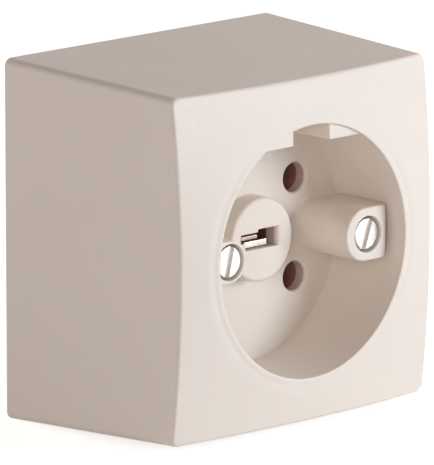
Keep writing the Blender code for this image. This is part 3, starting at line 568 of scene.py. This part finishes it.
def post_outline(side, growth, wall_growth):
    """A post's outline: half round towards the middle, flat with round corners at the wall."""
    radius = POST_RADII[side] + growth
    corner = POST_COLUMN + POST_FLAT_OFFSET + wall_growth - POST_CORNER
    outline = arc((POST_COLUMN - POST_ROUND_OFFSETS[side], 0), radius, 90, 270, SMALL_STEPS)
    outline += arc((corner, POST_CORNER - radius), POST_CORNER, 270, 360, ROUND_STEPS)
    outline += arc((corner, radius - POST_CORNER), POST_CORNER, 0, 90, ROUND_STEPS)
    return mirrored(outline, SIDES[side])


def post_rings(side):
    """A post on its foot, whose front edge is rounder towards the wall."""
    rings = []
    for growth, depth in foot_levels(FLOOR_MIDDLE, FLOOR_DEPTH):
        rings.append(place(post_outline(side, growth, growth), depth))
    centre = (-POST_WALL_EDGE, POST_DEPTH - POST_WALL_EDGE)
    for wall_growth, depth in arc(centre, POST_WALL_EDGE, 0, 90):
        growth = edge_growth(depth, POST_DEPTH, POST_EDGE)
        rings.append(place(post_outline(side, growth, wall_growth), depth))
    return rings


def slot_outline(right_growth):
    """The boss's slot, a step taller in its right part and a step shorter at its lower left."""
    right = SLOT_RIGHT + right_growth
    corners = [
        (SLOT_LEFT_LOW, SLOT_BOTTOM),
        (right, SLOT_BOTTOM),
        (right, SLOT_TOP_WIDE),
        (SLOT_STEP, SLOT_TOP_WIDE),
        (SLOT_STEP, SLOT_TOP_NARROW),
        (SLOT_LEFT, SLOT_TOP_NARROW),
        (SLOT_LEFT, SLOT_LEFT_STEP),
        (SLOT_LEFT_LOW, SLOT_LEFT_STEP),
    ]
    return rounded_corners(corners, SLOT_CORNER)


def slot_rings():
    """The slot's cutter, whose mouth is rounded over, and most at its right end."""
    mouth = BOSS_DEPTH + TOUCH
    rings = [place(slot_outline(0), BOSS_ROOF - SLOT_CUT_OVERLAP)]
    centre = (-SLOT_RIGHT_EDGE, mouth - SLOT_RIGHT_EDGE)
    for wall_growth, depth in arc(centre, SLOT_RIGHT_EDGE, 0, 90):
        growth = -edge_growth(depth, mouth, SLOT_EDGE)
        rings.append(place(grown(slot_outline(-wall_growth), growth), depth))
    widest = grown(slot_outline(SLOT_RIGHT_EDGE), SLOT_EDGE)
    rings.append(place(widest, BOSS_DEPTH + CUT_OVERLAP))
    return rings


def stay_outlines():
    """Four stays between the well's housing and the cap's walls."""
    inside = WELL_RADIUS + WELL_WALL / 2
    outside = FRONT_HALF - COVER_WALL / 2
    thin = STAY_THICKNESS / 2
    return [
        rectangle(inside, outside, -thin, thin),
        rectangle(-outside, -inside, -thin, thin),
        rectangle(-thin, thin, inside, outside),
        rectangle(-thin, thin, -outside, -inside),
    ]


def breakout_rings():
    """The U-shaped recess inside the lower wall, where the wall is thinned for a cable."""
    radius = BREAKOUT_WIDTH / 2
    outline = [(-radius, -CUT_OVERLAP), (radius, -CUT_OVERLAP)]
    outline += arc((0, BREAKOUT_DEPTH - radius), radius, 0, 180, SMALL_STEPS)
    web_level = -(HALF - COVER_DRAFT * BREAKOUT_DEPTH / CORNER_DEPTH) + BREAKOUT_WEB
    levels = (web_level, -HALF + COVER_WALL + CUT_OVERLAP)
    return [[Vector((x, -depth, level)) for x, depth in outline] for level in levels]


def in_pin_hole(face):
    """Whether a face of the cover is a pin hole's straight wall."""
    off_centre = math.hypot(abs(face.center.x) - PIN_COLUMN, abs(face.center.z) - PIN_ROW)
    behind_mouth = FLOOR_BACK < -face.center.y < FLOOR_DEPTH - PIN_HOLE_EDGE
    return off_centre < PIN_HOLE_RADIUS + TOUCH and behind_mouth


def in_boss_slot(face):
    """Whether a face of the cover is a straight wall of the boss's slot."""
    beside = SLOT_LEFT - TOUCH < face.center.x < SLOT_RIGHT + TOUCH
    level = SLOT_BOTTOM - TOUCH < face.center.z < SLOT_TOP_WIDE + TOUCH
    behind_mouth = BOSS_ROOF < -face.center.y < BOSS_DEPTH - SLOT_EDGE
    return beside and level and behind_mouth


def gets_painted_hole_shade(face):
    """Whether a face of the cover is a straight wall of a hole or of the slot, where shade is
    painted.
    """
    return in_pin_hole(face) or in_boss_slot(face)


def build_cover(materials):
    """The cap with its well, key tabs, posts, boss, holes and slot."""
    cover = make_piece("cover_moulding", [cap_rings()])
    key_centre = (-KEY_EDGE, LAND_DEPTH - KEY_FACE_DROP - KEY_EDGE)
    key_levels = [(0, FLOOR_MIDDLE)] + arc(key_centre, KEY_EDGE, 0, 90, ROUND_STEPS)
    additions = [stack(key_outline(direction), key_levels) for direction in SIDES.values()]
    additions += [post_rings(side) for side in SIDES]
    boss_levels = raised_levels(FLOOR_MIDDLE, FLOOR_DEPTH, BOSS_DEPTH, BOSS_EDGE)
    additions.append(stack(circle((0, 0), BOSS_RADIUS), boss_levels))
    for outline in stay_outlines():
        additions.append(prism(outline, STAY_FRONT - STAY_HEIGHT, STAY_FRONT))
    combine(cover, additions, "UNION")

    behind = FLOOR_BACK - CUT_OVERLAP
    seat = POST_DEPTH - SEAT_BELOW_POST
    cavity = prism(circle((0, 0), BOSS_RADIUS - BOSS_WALL), behind, BOSS_ROOF)
    removals = [cavity, breakout_rings()]
    bore = [(SHANK_BORE_RADIUS, behind), (SHANK_BORE_RADIUS, seat)]
    for growth, depth in sunk_levels(seat, POST_DEPTH, HEAD_BORE_EDGE):
        bore.append((HEAD_BORE_RADIUS + growth, depth))
    hole_levels = sunk_levels(behind, FLOOR_DEPTH, PIN_HOLE_EDGE)
    for direction in SIDES.values():
        removals.append(turned((direction * POST_COLUMN, 0), bore, SMALL_STEPS))
        for row in (-PIN_ROW, PIN_ROW):
            hole = circle((direction * PIN_COLUMN, row), PIN_HOLE_RADIUS, SMALL_STEPS)
            removals.append(stack(hole, hole_levels))
    combine(cover, removals, "DIFFERENCE")
    combine(cover, [slot_rings()], "DIFFERENCE")
    finish_piece(cover, materials["cover"], "cover", "front_cover")
    # The walls of the holes and of the slot get a darker cream: painted shade.
    paint_shade_on_faces(cover, materials["cover painted hole shade"], gets_painted_hole_shade)


def build_cover_screw(side, materials):
    """A slotted cheese-head screw, sunk in its post."""
    node = "cover_screw_" + side
    low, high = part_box(node)
    centre = screw_place(node)
    radius = (high.x - low.x) / 2
    back = -high.y
    front = -low.y
    seat = front - HEAD_HEIGHT
    profile = [(SHANK_RADIUS - SHANK_POINT, back), (SHANK_RADIUS, back + SHANK_POINT)]
    profile += [(SHANK_RADIUS, seat), (radius, seat)]
    profile += arc((radius - HEAD_EDGE, front - HEAD_EDGE), HEAD_EDGE, 0, 90, ROUND_STEPS)
    screw = make_piece(node + "_fine", [turned(centre, profile, SMALL_STEPS)])

    angle = math.radians(DRIVER_SLOT_ANGLES[side])
    half_width = DRIVER_SLOT_WIDTH / 2
    reach = 2 * radius
    floor = front - DRIVER_SLOT_DEPTH
    corners = [rotated(x, z, angle) for x, z in rectangle(-half_width, half_width, -reach, reach)]
    bar = [(centre[0] + x, centre[1] + z) for x, z in corners]
    combine(screw, [prism(bar, floor, front + CUT_OVERLAP)], "DIFFERENCE")

    def gets_painted_slot_shade(face):
        """Whether a face lies in the driver slot, where shade is painted."""
        across = rotated(face.center.x - centre[0], face.center.z - centre[1], -angle)[0]
        return abs(across) < half_width + TOUCH and -face.center.y > floor - TOUCH

    finish_piece(screw, materials["screw"], "screw", node, bevel=SCREW_BEVEL)
    # The driver slot's faces get a darker zinc: painted shade.
    paint_shade_on_faces(screw, materials["screw slot painted shade"], gets_painted_slot_shade)


def leaf_outline(name, outward, back, front):
    """A leaf's section in z and depth."""
    near = LEAF_TIP_GAP / 2
    far = near + LEAF_TIP_THICKNESSES[name]
    body = far - LEAF_THICKNESS
    tip = front - LEAF_TIP_EDGE
    points = [(body, back), (far, back)]
    points += arc((far - LEAF_TIP_EDGE, tip), LEAF_TIP_EDGE, 0, 90, ROUND_STEPS)
    points += arc((near + LEAF_TIP_EDGE, tip), LEAF_TIP_EDGE, 90, 180, ROUND_STEPS)
    points += [(near, front - LEAF_TIP_LENGTH), (body, front - 2 * LEAF_TIP_LENGTH)]
    return [(LEAF_MIDDLE + outward * z, depth) for z, depth in points]


def build_earth_contact(materials):
    """Two plated leaves on a tail strip."""
    back = -contact_high.y
    front = -contact_low.y
    tail_front = back + TAIL_THICKNESS
    half_width = TAIL_WIDTH / 2
    tail = rectangle(-half_width, half_width, SLOT_BOTTOM + LEAF_CLEARANCE, contact_high.z)
    contact = make_piece("earth_leaves", [prism(tail, back, tail_front)])
    for name, outward in (("upper", 1), ("lower", -1)):
        section = leaf_outline(name, outward, back, front)
        rings = [[Vector((x, -depth, z)) for z, depth in section] for x in LEAF_ENDS[name]]
        combine(contact, [rings], "UNION")

    def gets_painted_leaf_shade(face):
        """Whether a face lies on the upper leaf, in front of the tail, where shade is painted."""
        return face.center.z > LEAF_MIDDLE and -face.center.y > tail_front + TOUCH

    finish_piece(contact, materials["spring"], "spring", "earth_contact", bevel=LEAF_BEVEL)
    # The upper leaf gets a darker tin: painted shade.
    paint_shade_on_faces(contact, materials["spring painted shade"], gets_painted_leaf_shade)


def build_back_plate(material):
    """The wall plate with its upstand, pillars, fixing slots and cable entry."""
    square = rectangle(-PLATE_HALF, PLATE_HALF, -PLATE_HALF, PLATE_HALF)
    levels = [(-PLATE_EDGE, 0), (0, PLATE_EDGE), (0, PLATE_FRONT)]
    plate = make_piece("back_plate_fine", [stack(rounded_corners(square, PLATE_CORNER), levels)])
    above = PLATE_FRONT + CUT_OVERLAP
    inside = rectangle(-TRAY_HALF, TRAY_HALF, -TRAY_HALF, TRAY_HALF)
    tray = prism(rounded_corners(inside, PLATE_CORNER), PLATE_THICKNESS, above)
    combine(plate, [tray], "DIFFERENCE")
    gap_bottom = -PLATE_HALF - CUT_OVERLAP
    gap_top = -TRAY_HALF + UPSTAND_GAP_OVERLAP
    opening = rectangle(-UPSTAND_GAP_HALF, UPSTAND_GAP_HALF, gap_bottom, gap_top)
    gap = prism(opening, PLATE_THICKNESS + UPSTAND_GAP_RISE, above)
    combine(plate, [gap], "DIFFERENCE")
    rounds = [circle(centre, PILLAR_RADIUS, SMALL_STEPS) for centre in PILLAR_PLACES]
    pillars = [prism(outline, PLATE_THICKNESS / 2, PILLAR_DEPTH) for outline in rounds]
    combine(plate, pillars, "UNION")

    bores = [circle(centre, PILLAR_BORE_RADIUS, SMALL_STEPS) for centre in PILLAR_PLACES]
    removals = [prism(outline, PILLAR_BORE_BOTTOM, above) for outline in bores]
    end_radius = FIXING_SLOT_WIDTH / 2
    end_offset = FIXING_SLOT_LENGTH / 2 - end_radius
    levels = [(PLATE_EDGE, -CUT_OVERLAP), (PLATE_EDGE, -TOUCH), (0, PLATE_EDGE), (0, above)]
    for x in (-FIXING_COLUMN, FIXING_COLUMN):
        for z in (-FIXING_ROW, FIXING_ROW):
            slot = arc((x, z + end_offset), end_radius, 0, 180)
            slot += arc((x, z - end_offset), end_radius, 180, 360)
            removals.append(stack(slot, levels))
    entry = circle((0, ENTRY_HEIGHT), ENTRY_RADIUS)
    removals.append(prism(entry, -CUT_OVERLAP, PLATE_THICKNESS + CUT_OVERLAP))
    combine(plate, removals, "DIFFERENCE")
    finish_piece(plate, material, "plate", "back_plate")


def build_grommet(material):
    """The soft ring in the cable entry, rounded all over."""
    front = -grommet_low.y
    back_edge = (GROMMET_BORE + GROMMET_BACK_EDGE, GROMMET_BACK + GROMMET_BACK_EDGE)
    flange_edge = (GROMMET_FLANGE - GROMMET_EDGE, GROMMET_SEAT + GROMMET_EDGE)
    bore_edge = (GROMMET_BORE + GROMMET_EDGE, front - GROMMET_EDGE)
    profile = arc(back_edge, GROMMET_BACK_EDGE, 180, 270, ROUND_STEPS)
    profile += [(GROMMET_BODY, GROMMET_BACK), (GROMMET_BODY, GROMMET_SEAT)]
    profile.append((GROMMET_FLANGE, GROMMET_SEAT))
    profile += arc(flange_edge, GROMMET_EDGE, 0, 90, ROUND_STEPS)
    profile += arc(bore_edge, GROMMET_EDGE, 90, 180, ROUND_STEPS)
    rings = turned((0, ENTRY_HEIGHT), profile)
    grommet = make_piece("cable_grommet_fine", [rings], wrap=True)
    finish_piece(grommet, material, "rubber", "cable_grommet")


def new_material(name, roughness, metallic=0.0):
    """An empty Principled material: (material, node tree, shader)."""
    material = bpy.data.materials.new(name)
    material.use_nodes = True
    tree = material.node_tree
    shader = tree.nodes["Principled BSDF"]
    shader.inputs["Roughness"].default_value = roughness
    shader.inputs["Metallic"].default_value = metallic
    return material, tree, shader


def noise_node(tree, size, detail):
    """Noise in the object's own space; the size of its features is in metres."""
    coordinates = tree.nodes.new("ShaderNodeTexCoord")
    noise = tree.nodes.new("ShaderNodeTexNoise")
    noise.inputs["Scale"].default_value = 1 / size
    noise.inputs["Detail"].default_value = detail
    tree.links.new(coordinates.outputs["Object"], noise.inputs["Vector"])
    return noise


def vary_color(tree, shader, size, dark, light):
    """Base colour that drifts between two tones."""
    noise = noise_node(tree, size, TONE_DETAIL)
    ramp = tree.nodes.new("ShaderNodeValToRGB")
    first, last = ramp.color_ramp.elements
    first.position = NOISE_LOW
    last.position = NOISE_HIGH
    first.color = (*dark, 1)
    last.color = (*light, 1)
    tree.links.new(noise.outputs["Fac"], ramp.inputs["Fac"])
    tree.links.new(ramp.outputs["Color"], shader.inputs["Base Color"])


def vary_roughness(tree, shader, size, smooth, rough):
    """Roughness that drifts between two values."""
    noise = noise_node(tree, size, FINE_DETAIL)
    spread = tree.nodes.new("ShaderNodeMapRange")
    spread.inputs["From Min"].default_value = NOISE_LOW
    spread.inputs["From Max"].default_value = NOISE_HIGH
    spread.inputs["To Min"].default_value = smooth
    spread.inputs["To Max"].default_value = rough
    tree.links.new(noise.outputs["Fac"], spread.inputs["Value"])
    tree.links.new(spread.outputs["Result"], shader.inputs["Roughness"])


def add_bump(tree, shader, size, height, strength):
    """Fine relief on the surface; size and height are in metres."""
    noise = noise_node(tree, size, FINE_DETAIL)
    bump = tree.nodes.new("ShaderNodeBump")
    bump.inputs["Strength"].default_value = strength
    bump.inputs["Distance"].default_value = height
    tree.links.new(noise.outputs["Fac"], bump.inputs["Height"])
    tree.links.new(bump.outputs["Normal"], shader.inputs["Normal"])


def make_finish(name, roughness, tone, relief, gloss=None, metallic=0.0):
    """A finish with a drift in tone, fine relief and, if gloss is given, a drift in roughness."""
    material, tree, shader = new_material(name, roughness, metallic)
    vary_color(tree, shader, **tone)
    if gloss:
        vary_roughness(tree, shader, **gloss)
    add_bump(tree, shader, **relief)
    return material


def cream_plastic(name, dark, light):
    """Satin cream moulding with a slight drift in tone and a faint ripple."""
    material = make_finish(
        name,
        roughness=0.43,
        tone={"size": 30 * MM, "dark": dark, "light": light},
        gloss={"size": 20 * MM, "smooth": 0.40, "rough": 0.46},
        relief={"size": 1.6 * MM, "height": 0.01 * MM, "strength": 0.2},
    )
    shader = material.node_tree.nodes["Principled BSDF"]
    shader.inputs["Specular IOR Level"].default_value = CREAM_SPECULAR
    shader.inputs["Subsurface Weight"].default_value = CREAM_SUBSURFACE
    shader.inputs["Subsurface Radius"].default_value = CREAM_SUBSURFACE_RADIUS
    shader.inputs["Subsurface Scale"].default_value = CREAM_SUBSURFACE_SCALE
    return material


def brown_moulding():
    """Dull brown thermoset with darker flecks, its brown lighter than the moulding's own: painted
    light for a part seen only in shade.
    """
    return make_finish(
        "brown_thermoset_painted_light",
        roughness=0.5,
        # These tones are lighter than the real brown: painted light, since the carrier lies deep in
        # shade.
        tone={"size": 2 * MM, "dark": (0.40, 0.18, 0.16), "light": (0.46, 0.21, 0.19)},
        gloss={"size": 3 * MM, "smooth": 0.45, "rough": 0.6},
        relief={"size": 0.5 * MM, "height": 0.02 * MM, "strength": 0.3},
    )


def plate_plastic():
    """Satin moulding of the back plate, a tone greyer than the cover."""
    return make_finish(
        "plate_moulding",
        roughness=0.5,
        tone={"size": 12 * MM, "dark": (0.62, 0.575, 0.52), "light": (0.65, 0.605, 0.55)},
        gloss={"size": 5 * MM, "smooth": 0.45, "rough": 0.58},
        relief={"size": 0.6 * MM, "height": 0.03 * MM, "strength": 0.3},
    )


def fibre_sheet():
    """Pressed insulating sheet with a fibrous tone."""
    return make_finish(
        "fibre_board",
        roughness=0.75,
        tone={"size": 0.8 * MM, "dark": (0.16, 0.085, 0.045), "light": (0.25, 0.14, 0.08)},
        relief={"size": 0.4 * MM, "height": 0.05 * MM, "strength": 0.4},
    )


def rubber():
    """Soft black rubber."""
    return make_finish(
        "soft_rubber",
        roughness=0.75,
        tone={"size": 3 * MM, "dark": (0.018, 0.018, 0.018), "light": (0.032, 0.031, 0.03)},
        relief={"size": 0.5 * MM, "height": 0.03 * MM, "strength": 0.3},
    )


def metal(name, dark, light, smooth, rough, grain):
    """A metal whose tone and gloss drift with its grain."""
    relief = {"size": grain, "height": METAL_RELIEF_HEIGHT, "strength": METAL_RELIEF_STRENGTH}
    return make_finish(
        name,
        roughness=rough,
        tone={"size": METAL_TONE_GRAINS * grain, "dark": dark, "light": light},
        gloss={"size": METAL_GLOSS_GRAINS * grain, "smooth": smooth, "rough": rough},
        relief=relief,
        metallic=1.0,
    )


def make_materials():
    """Every finish, keyed by the record's material slot or by what it is for."""
    materials = {slot: metal(*finish) for slot, finish in METALS.items()}
    materials.update({slot: cream_plastic(*finish) for slot, finish in CREAMS.items()})
    materials["carrier"] = brown_moulding()
    materials["plate"] = plate_plastic()
    materials["fibre"] = fibre_sheet()
    materials["rubber"] = rubber()
    return materials


def dress_frame(materials):
    """Give each CAD node the finish of its slot in the record."""
    for row in frame["record"]["subparts"]:
        node = frame["nodes"][row["node"]]
        node.data.materials.clear()
        node.data.materials.append(materials[row["material_slot"]])


def view_axes(azimuth, elevation):
    """Unit vectors from the object to a viewer, to the viewer's right and up."""
    back = Vector(
        (
            math.sin(azimuth) * math.cos(elevation),
            -math.cos(azimuth) * math.cos(elevation),
            math.sin(elevation),
        )
    )
    right = Vector((math.cos(azimuth), math.sin(azimuth), 0))
    return back, right, back.cross(right)


def aim(thing, target, back, distance):
    """Link a camera or a lamp, and point it at a target from a distance."""
    bpy.context.scene.collection.objects.link(thing)
    thing.location = target + back * distance
    thing.rotation_mode = "QUATERNION"
    thing.rotation_quaternion = (-back).to_track_quat("-Z", "Y")


def build_camera():
    """The photograph's view: a long lens from the left and a little above."""
    back, right, up = view_axes(CAMERA_AZIMUTH, CAMERA_ELEVATION)
    data = bpy.data.cameras.new("camera")
    data.sensor_width = SENSOR_WIDTH
    data.lens = SENSOR_WIDTH * PIXELS_PER_METRE * CAMERA_DISTANCE / IMAGE_LONG_SIDE
    data.clip_start = CLIP_START
    data.clip_end = CLIP_END
    camera = bpy.data.objects.new("camera", data)
    aim(camera, right * TARGET_RIGHT + up * TARGET_UP, back, CAMERA_DISTANCE)
    bpy.context.scene.camera = camera


def build_softboxes():
    """Round soft boxes that all face the object."""
    for name, (azimuth, elevation, distance, size, power, color) in SOFTBOXES.items():
        data = bpy.data.lights.new(name, "AREA")
        data.shape = "DISK"
        data.size = size
        data.energy = power
        data.color = color
        back = view_axes(math.radians(azimuth), math.radians(elevation))[0]
        aim(bpy.data.objects.new(name, data), Vector((0, 0, 0)), back, distance)


def seen_directly(tree):
    """A socket that is 1 for camera, glossy and transmission rays, and 0 for the rest."""
    path = tree.nodes.new("ShaderNodeLightPath")
    total = path.outputs["Is Camera Ray"]
    for name in ("Is Glossy Ray", "Is Transmission Ray"):
        higher = tree.nodes.new("ShaderNodeMath")
        higher.operation = "MAXIMUM"
        tree.links.new(total, higher.inputs[0])
        tree.links.new(path.outputs[name], higher.inputs[1])
        total = higher.outputs[0]
    return total


def build_world():
    """An even warm room that looks white behind the object and in its gloss."""
    world = bpy.data.worlds.new("room")
    world.use_nodes = True
    tree = world.node_tree
    tree.nodes.clear()
    room = tree.nodes.new("ShaderNodeBackground")
    room.inputs["Color"].default_value = (*SKY_COLOR, 1)
    room.inputs["Strength"].default_value = SKY_STRENGTH
    white = tree.nodes.new("ShaderNodeBackground")
    white.inputs["Color"].default_value = (1, 1, 1, 1)
    mix = tree.nodes.new("ShaderNodeMixShader")
    output = tree.nodes.new("ShaderNodeOutputWorld")
    tree.links.new(seen_directly(tree), mix.inputs["Fac"])
    tree.links.new(room.outputs[0], mix.inputs[1])
    tree.links.new(white.outputs[0], mix.inputs[2])
    tree.links.new(mix.outputs[0], output.inputs["Surface"])
    bpy.context.scene.world = world


def make_floor_mesh():
    """A flat square at the object's lowest point."""
    half = FLOOR_SIZE / 2
    corners = [(x, y, cad_low.z) for x, y in rectangle(-half, half, -half, half)]
    mesh = bpy.data.meshes.new("floor")
    mesh.from_pydata(corners, [], [(0, 1, 2, 3)])
    floor = bpy.data.objects.new("floor", mesh)
    bpy.context.scene.collection.objects.link(floor)
    return floor


def build_floor():
    """A plain pale floor that looks white and keeps the object's shadow."""
    floor = make_floor_mesh()
    material, tree, shader = new_material("floor", FLOOR_ROUGHNESS)
    shader.inputs["Base Color"].default_value = FLOOR_COLOR
    glow = tree.nodes.new("ShaderNodeEmission")
    scale = tree.nodes.new("ShaderNodeMath")
    scale.operation = "MULTIPLY"
    scale.inputs[1].default_value = FLOOR_GLOW
    tree.links.new(seen_directly(tree), scale.inputs[0])
    tree.links.new(scale.outputs[0], glow.inputs["Strength"])
    add = tree.nodes.new("ShaderNodeAddShader")
    output = tree.nodes["Material Output"]
    tree.links.new(shader.outputs[0], add.inputs[0])
    tree.links.new(glow.outputs[0], add.inputs[1])
    tree.links.new(add.outputs[0], output.inputs["Surface"])
    floor.data.materials.append(material)


def main():
    """Dress the frame, build the finer pieces, and set the scene around them."""
    materials = make_materials()
    dress_frame(materials)
    build_cover(materials)
    for side in SIDES:
        build_cover_screw(side, materials)
    build_earth_contact(materials)
    build_back_plate(materials["plate"])
    build_grommet(materials["rubber"])
    build_camera()
    build_softboxes()
    build_world()
    build_floor()
    bpy.context.scene.view_settings.view_transform = "Standard"


main()
